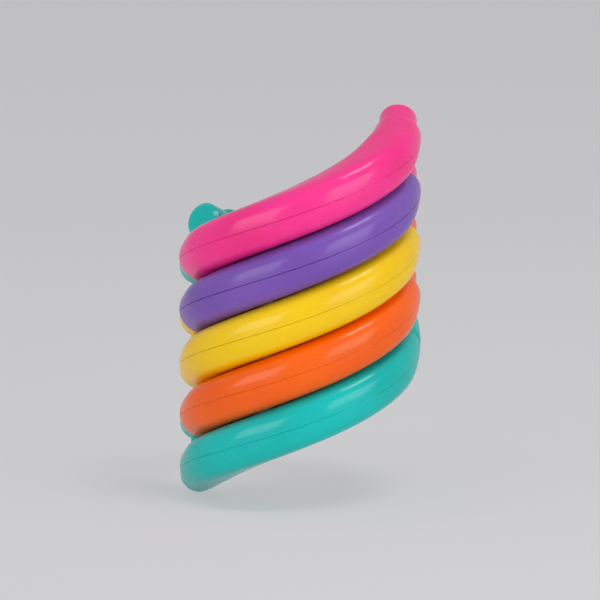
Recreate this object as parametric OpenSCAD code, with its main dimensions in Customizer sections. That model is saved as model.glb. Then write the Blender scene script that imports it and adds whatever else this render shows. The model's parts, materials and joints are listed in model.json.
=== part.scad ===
// Twisty snake puzzle: six curved strands joined by swivels, shown wound into its coil.
// The coil's axis is Z. Five strands cross the front and the sixth crosses the back.

/* [Coil] */
// Radius of the helix that the middle of every strand follows
coil_radius = 17.6; // [16:0.1:22]
// Rise of a strand over one full turn
lead = 47.4; // [44:0.2:56]
// Angle at which the front strands begin, from the front centre
first_angle = -80; // [-84:1:-70]
// Angle at which the front strands end
last_angle = 87; // [80:1:90]
// Angle at which the back strand ends
back_angle = 232; // [200:1:234]

/* [Strand] */
// Thickness of a strand, measured out from the coil's axis
strand_depth = 9.2; // [8:0.1:10]
// Clear gap between strands that lie side by side
strand_gap = 0.2; // [0.16:0.02:0.6]
// Squareness of the strand's section: 2 is an ellipse
fullness = 2.8; // [2:0.1:3.2]
// Length over which a strand turns from its round end to its full section
end_blend = 9; // [6:0.5:12]
// Wall of the hollow shells
shell_wall = 1.4; // [1.1:0.1:1.6]
// Width of the seam between the two shells of a strand
seam_gap = 0.12; // [0.06:0.02:0.3]
// Rounding at the ends of a strand
end_round = 0.8; // [0.4:0.1:1]

/* [Swivels] */
// Radius of the pin's neck
neck_radius = 1.4; // [1.1:0.1:1.6]
// How far the pin's head stands out past its neck
head_step = 0.4; // [0.3:0.05:0.5]
// Length of the pin's head
head_length = 1.8; // [1.4:0.1:2.2]
// Radial clearance between a pin and its bore
pin_clearance = 0.05; // [0.03:0.01:0.1]
// Gap between the faces that turn on each other
running_gap = 0.3; // [0.2:0.05:0.5]
// Thickness of the lip that holds the head in
lip = 2; // [1.6:0.1:2.4]
// Outer radius of a link's barrel
barrel_radius = 3.4; // [3:0.1:3.6]
// Solid end of a barrel behind the head
barrel_end = 1.4; // [1:0.1:1.8]
// Bevel at the ends of a barrel
barrel_bevel = 0.6; // [0.3:0.1:0.8]
// Radius of the web between a link's barrels
web_radius = 1.6; // [1.2:0.1:1.8]
// Gap left at the swivel where the loop is opened
open_gap = 1.2; // [0.8:0.1:2]
// Length of the pin's root inside a strand
root_length = 4.6; // [3.6:0.2:5]
// Thickness of the disc that closes a strand's end
disc_thickness = 1.4; // [1:0.1:2]
// Fit between the disc and the shells round it
disc_fit = 0.25; // [0.1:0.05:0.3]

/* [Smoothness] */
// Angle between the rings of a shell
ring_step = 9; // [7:0.5:12]
// Faces across the outside of a shell
shell_faces = 10; // [8:2:12]

/* [Hidden] */
$fn = 48;

teal = "#02b5ae";
orange = "#fb5f03";
yellow = "#f6c80c";
purple = "#7f5ab8";
pink = "#fb58a4";

front_strands = 5;
spacing = lead / front_strands;
rise = lead / (2 * PI);
slope_length = norm([coil_radius, rise]);
arc_per_degree = slope_length * PI / 180;
// Neighbouring strands are this far apart, square to their length
pitch_square = spacing * coil_radius / slope_length;
strand_height = pitch_square - strand_gap;

head_radius = neck_radius + head_step;
neck_length = running_gap + lip + running_gap / 2;
pocket_length = head_length + running_gap;
barrel_length = lip + pocket_length + barrel_end;
disc_radius = strand_height / 2 - shell_wall - disc_fit;
root_radius = disc_radius - head_step;
web_depth = running_gap + barrel_length - barrel_bevel / 2 - web_radius;
head_bevel = head_step / 2;

// The lowest barrel stands on the floor
barrel_reach = running_gap + barrel_length - barrel_bevel;
teal_level = -lead * first_angle / 360 + (barrel_reach * rise + barrel_radius * coil_radius) / slope_length;
orange_level = teal_level + spacing;
yellow_level = orange_level + spacing;
purple_level = yellow_level + spacing;
pink_level = purple_level + spacing;
back_start = last_angle + running_gap / arc_per_degree;

// Middle of a strand at an angle, with the strand's height at the front centre
function spot(angle, level) =
    [coil_radius * sin(angle), -coil_radius * cos(angle), level + lead * angle / 360];
// Directions at an angle: away from the axis, along the strand, and up the stack
function outward(angle) = [sin(angle), -cos(angle), 0];
function along(angle) = [coil_radius * cos(angle), coil_radius * sin(angle), rise] / slope_length;
function upward(angle) = [-rise * cos(angle), -rise * sin(angle), coil_radius] / slope_length;

// A power of a sine or cosine that keeps its sign
function bulge(value, full) = sign(value) * pow(abs(value), 2 / full);
// Half an oval, from one side of the seam over the top to the other
function half_oval(depth, height, full) = [
    for (i = [0 : shell_faces])
        let (turn = 180 * i / shell_faces)
        [depth * bulge(cos(turn), full), seam_gap / 2 + (height - seam_gap / 2) * bulge(sin(turn), full)]
];
// Share of the full section at a distance from the end: 0 at the end, 1 past the blend
function swell(distance) =
    let (share = min(distance / end_blend, 1))
    share * share * (3 - 2 * share);
function mix(from, to, share) = from + (to - from) * share;
// How much a ring close to an end is drawn in, to round the end
function draw_in(distance) =
    distance >= end_round ? 0 : end_round - sqrt(pow(end_round, 2) - pow(end_round - distance, 2));

function reversed(list) = [for (i = [len(list) - 1 : -1 : 0]) list[i]];

// Distances from an end at which the rounded end has its rings
round_rings = [0, 0.12, 0.4, 1];
function ring_angles(from, to) = concat(
    [for (part = round_rings) from + part * end_round / arc_per_degree],
    [
        let (count = ceil((to - from) / ring_step))
        for (i = [1 : count - 1]) from + (to - from) * i / count
    ],
    [for (part = reversed(round_rings)) to - part * end_round / arc_per_degree]
);

// One shell's ring at a distance from the nearer end: the outside half oval, then the inside one
function ring(angle, level, side, distance) =
    let (
        share = swell(distance),
        depth = mix(strand_height, strand_depth, share) / 2,
        height = strand_height / 2,
        full = mix(2, fullness, share),
        inset = draw_in(distance),
        outside = half_oval(depth - inset, height - inset, full),
        inside = half_oval(depth - shell_wall, height - shell_wall, full),
        middle = spot(angle, level),
        out = outward(angle),
        up = side * upward(angle)
    )
    [for (p = concat(outside, reversed(inside))) middle + p[0] * out + p[1] * up];

// Half of a strand, split along its length: side is 1 for the upper half, -1 for the lower
module shell(level, from, to, side) {
    angles = ring_angles(from, to);
    rings = [
        for (a = angles)
            ring(a, level, side, min(a - from, to - a) * arc_per_degree)
    ];
    n = len(rings[0]);
    last = len(rings) - 1;
    walls = [
        for (r = [0 : last - 1], i = [0 : n - 1])
            let (a = r * n + i, b = r * n + (i + 1) % n)
            each [[a, b, a + n], [b, b + n, a + n]]
    ];
    first_cap = [
        for (i = [0 : shell_faces - 1])
            let (a = i, b = i + 1, c = n - 2 - i, d = n - 1 - i)
            each [[a, d, b], [b, d, c]]
    ];
    last_cap = [for (f = first_cap) [f[0] + last * n, f[2] + last * n, f[1] + last * n]];
    faces = concat(walls, first_cap, last_cap);
    polyhedron(
        points = [for (r = rings) each r],
        faces = side > 0 ? faces : [for (f = faces) reversed(f)]
    );
}

// Puts its children at a strand's end, with +Z pointing out of the strand
module at_end(angle, level, way) {
    heading = way * along(angle);
    translate(spot(angle, level))
        rotate([0, acos(heading[2]), atan2(heading[1], heading[0])])
            children();
}

// Disc that closes a strand's end, with its root between the shells
module end_disc() {
    translate([0, 0, -disc_thickness])
        cylinder(r = disc_radius, h = disc_thickness);
    translate([0, 0, -root_length])
        cylinder(r = root_radius, h = root_length - disc_thickness / 2);
}

// Swivel pin: end disc, neck and snap head
module swivel_pin() {
    end_disc();
    translate([0, 0, -disc_thickness / 2])
        cylinder(r = neck_radius, h = neck_length + disc_thickness);
    translate([0, 0, neck_length])
        cylinder(r = head_radius, h = head_length - head_bevel);
    translate([0, 0, neck_length + head_length - head_bevel])
        cylinder(r1 = head_radius, r2 = head_radius - head_bevel, h = head_bevel);
}

// Space for a pin's neck and head, from in front of the mouth to the end of the pocket
module pin_space() {
    mouth = running_gap + lip;
    rotate_extrude()
        polygon([
            [0, running_gap - 1],
            [neck_radius + pin_clearance, running_gap - 1],
            [neck_radius + pin_clearance, mouth],
            [head_radius + pin_clearance, mouth],
            [head_radius + pin_clearance, mouth + pocket_length],
            [0, mouth + pocket_length]
        ]);
}

// Round barrel that turns on a pin
module barrel() {
    straight = barrel_length - 2 * barrel_bevel;
    translate([0, 0, running_gap])
        cylinder(r1 = barrel_radius - barrel_bevel, r2 = barrel_radius, h = barrel_bevel);
    translate([0, 0, running_gap + barrel_bevel])
        cylinder(r = barrel_radius, h = straight);
    translate([0, 0, running_gap + barrel_bevel + straight])
        cylinder(r1 = barrel_radius, r2 = barrel_radius - barrel_bevel, h = barrel_bevel);
}

// Middle of a link's barrel, where the web meets it
function web_point(end) =
    spot(end[0], end[1]) + end[2] * (end[3] + web_depth) * along(end[0]);

// Round web between the barrels of a link
module web(a, b) {
    reach = b - a;
    translate(a)
        rotate([0, acos(reach[2] / norm(reach)), atan2(reach[1], reach[0])])
            cylinder(r = web_radius, h = norm(reach));
}

// Link with two barrels; each end is [angle, level, way, gap]
module link(a, b) {
    difference() {
        union() {
            link_end(a) barrel();
            link_end(b) barrel();
            web(web_point(a), web_point(b));
        }
        link_end(a) pin_space();
        link_end(b) pin_space();
    }
}

module link_end(end) {
    at_end(end[0], end[1], end[2])
        translate([0, 0, end[3]])
            children();
}

// Link that turns the chain back beside itself, at the left or the right edge
module left_link(level) {
    link([first_angle, level, -1, 0], [first_angle, level + spacing, -1, 0]);
}

module right_link(level) {
    link([last_angle, level, 1, 0], [last_angle, level + spacing, 1, 0]);
}

module front_shell(level, side) {
    shell(level, first_angle, last_angle, side);
}

module left_pin(level) {
    at_end(first_angle, level, -1) swivel_pin();
}

module right_pin(level) {
    at_end(last_angle, level, 1) swivel_pin();
}

module back_shell(side) {
    shell(teal_level, back_start, back_angle, side);
}

// Bush in the back strand's lower end, on the teal strand's right pin
module back_bush() {
    color(teal)
        at_end(last_angle, teal_level, 1)
            difference() {
                translate([0, 0, running_gap])
                    cylinder(r = disc_radius, h = lip + pocket_length);
                pin_space();
                translate([0, 0, running_gap + lip])
                    cylinder(r = head_radius + pin_clearance, h = pocket_length + 1);
            }
}

module back_end_cap() {
    color(teal) at_end(back_angle, teal_level, 1) end_disc();
}

module pink_back_link() {
    color(teal) link([first_angle, pink_level, -1, 0], [back_angle, teal_level, 1, open_gap - running_gap]);
}

module teal_upper_shell() { color(teal) front_shell(teal_level, 1); }
module teal_lower_shell() { color(teal) front_shell(teal_level, -1); }
module teal_left_pin() { color(teal) left_pin(teal_level); }
module teal_right_pin() { color(teal) right_pin(teal_level); }
module orange_upper_shell() { color(orange) front_shell(orange_level, 1); }
module orange_lower_shell() { color(orange) front_shell(orange_level, -1); }
module orange_left_pin() { color(orange) left_pin(orange_level); }
module orange_right_pin() { color(orange) right_pin(orange_level); }
module yellow_upper_shell() { color(yellow) front_shell(yellow_level, 1); }
module yellow_lower_shell() { color(yellow) front_shell(yellow_level, -1); }
module yellow_left_pin() { color(yellow) left_pin(yellow_level); }
module yellow_right_pin() { color(yellow) right_pin(yellow_level); }
module purple_upper_shell() { color(purple) front_shell(purple_level, 1); }
module purple_lower_shell() { color(purple) front_shell(purple_level, -1); }
module purple_left_pin() { color(purple) left_pin(purple_level); }
module purple_right_pin() { color(purple) right_pin(purple_level); }
module pink_upper_shell() { color(pink) front_shell(pink_level, 1); }
module pink_lower_shell() { color(pink) front_shell(pink_level, -1); }
module pink_left_pin() { color(pink) left_pin(pink_level); }
module pink_right_pin() { color(pink) right_pin(pink_level); }
module back_upper_shell() { color(teal) back_shell(1); }
module back_lower_shell() { color(teal) back_shell(-1); }
module teal_orange_link() { color(teal) left_link(teal_level); }
module orange_yellow_link() { color(orange) right_link(orange_level); }
module yellow_purple_link() { color(yellow) left_link(yellow_level); }
module purple_pink_link() { color(purple) right_link(purple_level); }

teal_upper_shell();
teal_lower_shell();
teal_left_pin();
teal_right_pin();
orange_upper_shell();
orange_lower_shell();
orange_left_pin();
orange_right_pin();
yellow_upper_shell();
yellow_lower_shell();
yellow_left_pin();
yellow_right_pin();
purple_upper_shell();
purple_lower_shell();
purple_left_pin();
purple_right_pin();
pink_upper_shell();
pink_lower_shell();
pink_left_pin();
pink_right_pin();
back_upper_shell();
back_lower_shell();
back_bush();
back_end_cap();
teal_orange_link();
orange_yellow_link();
yellow_purple_link();
purple_pink_link();
pink_back_link();
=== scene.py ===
import bmesh
import bpy
import json
from math import atan2, cos, hypot, pi, radians, sin, sqrt
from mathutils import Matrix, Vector


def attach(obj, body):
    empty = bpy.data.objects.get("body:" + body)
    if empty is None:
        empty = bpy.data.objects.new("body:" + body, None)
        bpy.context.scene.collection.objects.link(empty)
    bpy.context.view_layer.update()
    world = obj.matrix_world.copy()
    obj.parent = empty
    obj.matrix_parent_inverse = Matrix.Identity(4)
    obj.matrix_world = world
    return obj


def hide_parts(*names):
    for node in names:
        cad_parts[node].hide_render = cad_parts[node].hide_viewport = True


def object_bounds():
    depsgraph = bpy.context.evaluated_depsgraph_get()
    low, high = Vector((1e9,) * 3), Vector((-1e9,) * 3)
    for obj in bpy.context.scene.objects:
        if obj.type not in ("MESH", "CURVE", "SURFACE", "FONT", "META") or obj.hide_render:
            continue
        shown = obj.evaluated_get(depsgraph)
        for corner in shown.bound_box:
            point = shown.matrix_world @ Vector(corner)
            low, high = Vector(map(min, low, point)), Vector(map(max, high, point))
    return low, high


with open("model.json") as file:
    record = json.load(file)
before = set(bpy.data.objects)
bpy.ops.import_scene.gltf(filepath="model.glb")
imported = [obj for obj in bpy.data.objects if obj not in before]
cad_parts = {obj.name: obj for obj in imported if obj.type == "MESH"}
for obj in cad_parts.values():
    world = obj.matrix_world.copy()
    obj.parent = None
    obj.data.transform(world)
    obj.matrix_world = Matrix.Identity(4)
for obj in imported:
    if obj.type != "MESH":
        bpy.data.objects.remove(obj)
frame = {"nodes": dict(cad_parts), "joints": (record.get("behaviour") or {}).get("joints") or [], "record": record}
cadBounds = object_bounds()

mm = 0.001
joints = {joint["name"]: joint for joint in frame["joints"]}


# the helix is read back from the swivels
def swivelSpot(name):
    return Vector(joints[name]["pos_m"])


def swivelAngle(name):
    spot = swivelSpot(name)
    return atan2(spot.x, -spot.y)


leftSwivel = swivelSpot("orange_left_swivel")
rightSwivel = swivelSpot("orange_right_swivel")
coilRadius = hypot(leftSwivel.x, leftSwivel.y)
firstAngle = swivelAngle("orange_left_swivel")
lastAngle = swivelAngle("orange_right_swivel")
rise = (rightSwivel.z - leftSwivel.z) / (lastAngle - firstAngle)  # per radian
slopeLength = hypot(coilRadius, rise)
spacing = leftSwivel.z - swivelSpot("teal_left_swivel").z
levels = {}
for strand in ("teal", "orange", "yellow", "purple", "pink"):
    levels[strand] = swivelSpot(strand + "_left_swivel").z - rise * firstAngle
print("coil radius", round(coilRadius / mm, 2), "spacing", round(spacing / mm, 2))

shellForm = {
    "depth": 9.2 * mm,  # out from the axis
    "gap": 0.06 * mm,  # between neighbouring strands
    "fullness": 3.0,  # 2 is an oval and more is squarer
    "endFullness": 2.0,
    "wall": 1.4 * mm,
    "seamBevel": 0.05 * mm,
    "endRound": 0.8 * mm,
    "roundSteps": [0, 0.04, 0.14, 0.3, 0.55, 0.8, 1],
    "roundMargin": 1.2,  # end rounds that the even rings stay clear of
    "endBlend": 9 * mm,
    "ringStep": radians(1.6),
    "outerFaces": 40,
    "innerFaces": 14,
    "sharpAngle": radians(38),
    "runningGap": 0.3 * mm,
    "backEndAngle": radians(232),
}
shellForm["height"] = spacing * coilRadius / slopeLength - shellForm["gap"]

seamWidths = {
    "pink": 0.04 * mm,
    "purple": 0.08 * mm,
    "yellow": 0.04 * mm,
    "orange": 0.02 * mm,
    "teal": 0.02 * mm,
}


def spotOn(angle, level):
    return Vector((coilRadius * sin(angle), -coilRadius * cos(angle), level + rise * angle))


def outwardAt(angle):
    return Vector((sin(angle), -cos(angle), 0))


def upwardAt(angle):
    return Vector((-rise * cos(angle), -rise * sin(angle), coilRadius)) / slopeLength


def bulge(value, fullness):
    size = abs(value) ** (2 / fullness)
    return size if value >= 0 else -size


def halfOval(depth, height, lift, fullness, faces):
    points = []
    for i in range(faces + 1):
        turn = pi * i / faces
        across = bulge(cos(turn), fullness)
        up = bulge(max(sin(turn), 0), fullness)
        points.append((depth * across, lift + (height - lift) * up))
    return points


def shellRing(angle, level, side, distance, seam):
    form = shellForm
    share = min(distance / form["endBlend"], 1)
    share = share * share * (3 - 2 * share)  # eases in and out
    height = form["height"] / 2
    depth = height + (form["depth"] / 2 - height) * share
    fullness = form["endFullness"] + (form["fullness"] - form["endFullness"]) * share
    inset = 0
    if distance < form["endRound"]:
        fromRound = form["endRound"] - distance
        inset = form["endRound"] - sqrt(form["endRound"] ** 2 - fromRound ** 2)
    lift = seam / 2
    bevel = form["seamBevel"]
    outer = halfOval(depth - inset, height - inset, lift + bevel, fullness, form["outerFaces"])
    edgeRight = (depth - inset - bevel, lift)
    edgeLeft = (-(depth - inset - bevel), lift)
    inner = halfOval(depth - form["wall"], height - form["wall"], lift, fullness, form["innerFaces"])
    outline = [edgeRight] + outer + [edgeLeft] + inner[::-1]
    middle = spotOn(angle, level)
    out = outwardAt(angle)
    up = upwardAt(angle) * side
    return [middle + out * a + up * b for a, b in outline]


def ringAngles(start, end):
    form = shellForm
    rounds = [step * form["endRound"] / slopeLength for step in form["roundSteps"]]
    clear = rounds[-1] * form["roundMargin"]
    count = round((end - start) / form["ringStep"])
    inside = [start + (end - start) * i / count for i in range(1, count)]
    inside = [a for a in inside if a - start > clear and end - a > clear]
    return [start + r for r in rounds] + inside + [end - r for r in reversed(rounds)]


def faceOutward(mesh):
    work = bmesh.new()
    work.from_mesh(mesh)
    bmesh.ops.recalc_face_normals(work, faces=work.faces)
    work.to_mesh(mesh)
    work.free()


def buildShell(name, level, start, end, side, seam):
    angles = ringAngles(start, end)
    vertices = []
    for angle in angles:
        distance = min(angle - start, end - angle) * slopeLength
        vertices += shellRing(angle, level, side, max(distance, 0), seam)
    ringSize = len(vertices) // len(angles)
    faces = []
    for ring in range(len(angles) - 1):
        near = ring * ringSize
        far = near + ringSize
        for i in range(ringSize):
            j = (i + 1) % ringSize
            faces.append((near + i, near + j, far + j, far + i))
    lastRing = (len(angles) - 1) * ringSize
    faces.append(tuple(reversed(range(ringSize))))
    faces.append(tuple(range(lastRing, lastRing + ringSize)))
    mesh = bpy.data.meshes.new(name)
    mesh.from_pydata([tuple(v) for v in vertices], [], faces)
    mesh.validate()
    faceOutward(mesh)
    mesh.polygons.foreach_set("use_smooth", [True] * len(mesh.polygons))
    mesh.set_sharp_from_angle(angle=shellForm["sharpAngle"])
    piece = bpy.data.objects.new(name, mesh)
    bpy.context.collection.objects.link(piece)
    return piece


plastics = {
    "pink": {"colour": (1.0, 0.036, 0.29), "deep": (0.93, 0.024, 0.24)},
    "purple": {"colour": (0.21, 0.097, 0.475), "deep": (0.18, 0.078, 0.42)},
    "yellow": {"colour": (0.97, 0.62, 0.002), "deep": (0.91, 0.55, 0.0015)},
    "orange": {"colour": (1.0, 0.135, 0.001), "deep": (0.95, 0.112, 0.0008)},
    "teal": {"colour": (0.0005, 0.54, 0.50), "deep": (0.0003, 0.47, 0.43)},
}

moulded = {
    "refraction": 1.5,
    "specular": 0.12,
    "coat": 0.45,
    "coatRoughness": 0.14,
    "glow": 0.08,
    "glowDepth": 2 * mm,
    "flowScale": 60,
    "flowDetail": 3,
    "flowDeepest": 0.35,
    "flowPalest": 0.62,
    "marksScale": 220,
    "marksDetail": 5,
    "marksFaintest": 0.3,
    "marksStrongest": 0.75,
    "glossyRoughness": 0.2,
    "dullRoughness": 0.36,
    "rippleScale": 380,
    "rippleDetail": 2,
    "rippleStrength": 0.12,
    "rippleDepth": 0.12 * mm,
}


def noise(nodes, links, place, scale, detail):
    texture = nodes.new("ShaderNodeTexNoise")
    texture.inputs["Scale"].default_value = scale
    texture.inputs["Detail"].default_value = detail
    links.new(place.outputs["Object"], texture.inputs["Vector"])
    return texture.outputs["Fac"]


def mouldedPlastic(name, colour, deep):
    material = bpy.data.materials.new(name)
    material.use_nodes = True
    nodes = material.node_tree.nodes
    links = material.node_tree.links
    shader = nodes["Principled BSDF"]
    shader.inputs["IOR"].default_value = moulded["refraction"]
    shader.inputs["Specular IOR Level"].default_value = moulded["specular"]
    shader.inputs["Coat Weight"].default_value = moulded["coat"]
    shader.inputs["Coat Roughness"].default_value = moulded["coatRoughness"]
    shader.inputs["Subsurface Weight"].default_value = moulded["glow"]
    shader.inputs["Subsurface Scale"].default_value = moulded["glowDepth"]
    place = nodes.new("ShaderNodeTexCoord")
    # slow flow of pigment through the moulding
    flow = noise(nodes, links, place, moulded["flowScale"], moulded["flowDetail"])
    tint = nodes.new("ShaderNodeValToRGB")
    tint.color_ramp.elements[0].position = moulded["flowDeepest"]
    tint.color_ramp.elements[0].color = (*deep, 1)
    tint.color_ramp.elements[1].position = moulded["flowPalest"]
    tint.color_ramp.elements[1].color = (*colour, 1)
    links.new(flow, tint.inputs["Fac"])
    links.new(tint.outputs["Color"], shader.inputs["Base Color"])
    # handling marks dull the gloss in places
    marks = noise(nodes, links, place, moulded["marksScale"], moulded["marksDetail"])
    gloss = nodes.new("ShaderNodeMapRange")
    gloss.inputs["From Min"].default_value = moulded["marksFaintest"]
    gloss.inputs["From Max"].default_value = moulded["marksStrongest"]
    gloss.inputs["To Min"].default_value = moulded["glossyRoughness"]
    gloss.inputs["To Max"].default_value = moulded["dullRoughness"]
    links.new(marks, gloss.inputs["Value"])
    links.new(gloss.outputs["Result"], shader.inputs["Roughness"])
    # faint ripple left by the mould
    ripple = noise(nodes, links, place, moulded["rippleScale"], moulded["rippleDetail"])
    bump = nodes.new("ShaderNodeBump")
    bump.inputs["Strength"].default_value = moulded["rippleStrength"]
    bump.inputs["Distance"].default_value = moulded["rippleDepth"]
    links.new(ripple, bump.inputs["Height"])
    links.new(bump.outputs["Normal"], shader.inputs["Normal"])
    return material


finishes = {name: mouldedPlastic(name + "Plastic", **tones) for name, tones in plastics.items()}
print("plastics ready")

strandRuns = {name: (level, firstAngle, lastAngle, name) for name, level in levels.items()}
backStart = lastAngle + shellForm["runningGap"] / slopeLength
strandRuns["back"] = (levels["teal"], backStart, shellForm["backEndAngle"], "teal")
for strand, (level, start, end, plastic) in strandRuns.items():
    for half, side in (("upper", 1), ("lower", -1)):
        name = strand + "_" + half + "_moulding"
        piece = buildShell(name, level, start, end, side, seamWidths[plastic])
        piece.data.materials.append(finishes[plastic])
        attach(piece, strand + "_strand")
        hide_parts(strand + "_" + half + "_shell")
print("strands wound")

linkPlastics = {
    "teal_orange_link": "teal",
    "orange_yellow_link": "orange",
    "yellow_purple_link": "yellow",
    "purple_pink_link": "pink",
    "pink_back_link": "teal",
}
turned = {"sharpAngle": radians(30)}
slotOf = {part["node"]: part["material_slot"] for part in frame["record"]["subparts"]}


def smoothSolid(mesh, finish):
    mesh.materials.clear()
    mesh.materials.append(finish)
    mesh.polygons.foreach_set("use_smooth", [True] * len(mesh.polygons))
    mesh.set_sharp_from_angle(angle=turned["sharpAngle"])


for name, node in frame["nodes"].items():
    if name in linkPlastics:
        plastic = linkPlastics[name]
        piece = bpy.data.objects.new(name + "_moulding", node.data.copy())
        bpy.context.collection.objects.link(piece)
        smoothSolid(piece.data, finishes[plastic])
        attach(piece, name)
        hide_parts(name)
    elif not name.endswith("_shell"):
        smoothSolid(node.data, finishes[slotOf[name].replace("_plastic", "")])
print("pins and links finished")

sweptFloor = {
    "front": -4,
    "back": 2.6,
    "sweepRadius": 1.2,
    "sweepSteps": 24,
    "wallTop": 4,
    "halfWidth": 5,
    "colour": (0.80, 0.80, 0.815, 1),
    "roughness": 0.8,
}

backdrop = {
    "colour": (0.63, 0.625, 0.645, 1),
    "share": 0.6,  # of the floor's look, so that shadows still show
}

worldFill = {"colour": (1, 1, 1, 1), "strength": 0.45}

softboxes = [
    {"name": "leftSoftbox", "place": (-0.42, -0.44, 0.12), "width": 0.50, "height": 0.30, "power": 1.15},
    {"name": "rightSoftbox", "place": (0.42, -0.44, 0.14), "width": 0.50, "height": 0.30, "power": 1.15},
    {"name": "topSoftbox", "place": (0.16, -0.16, 0.55), "width": 0.20, "height": 0.20, "power": 0.75},
]

viewpoint = {
    "elevation": radians(8.5),
    "distance": 0.95,
    "viewWidth": 0.108,
    "sensor": 36,
    "clipStart": 0.01,
}


def seenDirectly(nodes, links):
    path = nodes.new("ShaderNodeLightPath")
    direct = nodes.new("ShaderNodeMath")
    direct.operation = "MAXIMUM"
    links.new(path.outputs["Is Camera Ray"], direct.inputs[0])
    links.new(path.outputs["Is Glossy Ray"], direct.inputs[1])
    through = nodes.new("ShaderNodeMath")
    through.operation = "MAXIMUM"
    links.new(direct.outputs[0], through.inputs[0])
    links.new(path.outputs["Is Transmission Ray"], through.inputs[1])
    return through.outputs[0]


def paleFloor():
    material = bpy.data.materials.new("paleFloor")
    material.use_nodes = True
    nodes = material.node_tree.nodes
    links = material.node_tree.links
    surface = nodes["Principled BSDF"]
    surface.inputs["Base Color"].default_value = sweptFloor["colour"]
    surface.inputs["Roughness"].default_value = sweptFloor["roughness"]
    evenTone = nodes.new("ShaderNodeEmission")
    evenTone.inputs["Color"].default_value = backdrop["colour"]
    share = nodes.new("ShaderNodeMath")
    share.operation = "MULTIPLY"
    share.inputs[1].default_value = backdrop["share"]
    links.new(seenDirectly(nodes, links), share.inputs[0])
    blend = nodes.new("ShaderNodeMixShader")
    links.new(share.outputs[0], blend.inputs[0])
    links.new(surface.outputs[0], blend.inputs[1])
    links.new(evenTone.outputs[0], blend.inputs[2])
    links.new(blend.outputs[0], nodes["Material Output"].inputs["Surface"])
    return material


def addFloor():
    radius = sweptFloor["sweepRadius"]
    profile = [(sweptFloor["front"], 0)]
    for step in range(sweptFloor["sweepSteps"] + 1):
        turn = pi / 2 * step / sweptFloor["sweepSteps"]
        profile.append((sweptFloor["back"] + radius * sin(turn), radius * (1 - cos(turn))))
    profile.append((sweptFloor["back"] + radius, sweptFloor["wallTop"]))
    half = sweptFloor["halfWidth"]
    vertices = [(x, y, z) for y, z in profile for x in (-half, half)]
    faces = [(2 * i, 2 * i + 1, 2 * i + 3, 2 * i + 2) for i in range(len(profile) - 1)]
    mesh = bpy.data.meshes.new("floor")
    mesh.from_pydata(vertices, [], faces)
    mesh.polygons.foreach_set("use_smooth", [True] * len(mesh.polygons))
    mesh.materials.append(paleFloor())
    floor = bpy.data.objects.new("floor", mesh)
    bpy.context.collection.objects.link(floor)
    floor.location.z = min(cadBounds[0][2], 0)


def lightWorld():
    world = bpy.data.worlds.new("studioWorld")
    bpy.context.scene.world = world
    world.use_nodes = True
    nodes = world.node_tree.nodes
    links = world.node_tree.links
    seen = nodes["Background"]
    seen.inputs["Color"].default_value = backdrop["colour"]
    fill = nodes.new("ShaderNodeBackground")
    fill.inputs["Color"].default_value = worldFill["colour"]
    fill.inputs["Strength"].default_value = worldFill["strength"]
    blend = nodes.new("ShaderNodeMixShader")
    links.new(seenDirectly(nodes, links), blend.inputs[0])
    links.new(fill.outputs[0], blend.inputs[1])
    links.new(seen.outputs[0], blend.inputs[2])
    links.new(blend.outputs[0], nodes["World Output"].inputs["Surface"])


def turnTo(thing, target):
    thing.rotation_euler = (target - thing.location).to_track_quat("-Z", "Y").to_euler()


def addSoftbox(target, name, place, width, height, power):
    light = bpy.data.lights.new(name, "AREA")
    light.shape = "RECTANGLE"
    light.size = width
    light.size_y = height
    light.energy = power
    lamp = bpy.data.objects.new(name, light)
    lamp.location = place
    turnTo(lamp, target)
    bpy.context.collection.objects.link(lamp)


def addCamera(target):
    camera = bpy.data.cameras.new("camera")
    camera.sensor_width = viewpoint["sensor"]
    camera.lens = viewpoint["sensor"] * viewpoint["distance"] / viewpoint["viewWidth"]
    camera.clip_start = viewpoint["clipStart"]
    viewer = bpy.data.objects.new("camera", camera)
    tilt = viewpoint["elevation"]
    viewer.location = target + Vector((0, -cos(tilt), sin(tilt))) * viewpoint["distance"]
    turnTo(viewer, target)
    bpy.context.collection.objects.link(viewer)
    bpy.context.scene.camera = viewer


middle = (Vector(cadBounds[0]) + Vector(cadBounds[1])) / 2
addFloor()
lightWorld()
for softbox in softboxes:
    addSoftbox(middle, **softbox)
addCamera(middle)
bpy.context.scene.view_settings.view_transform = "Standard"
print("studio lit")
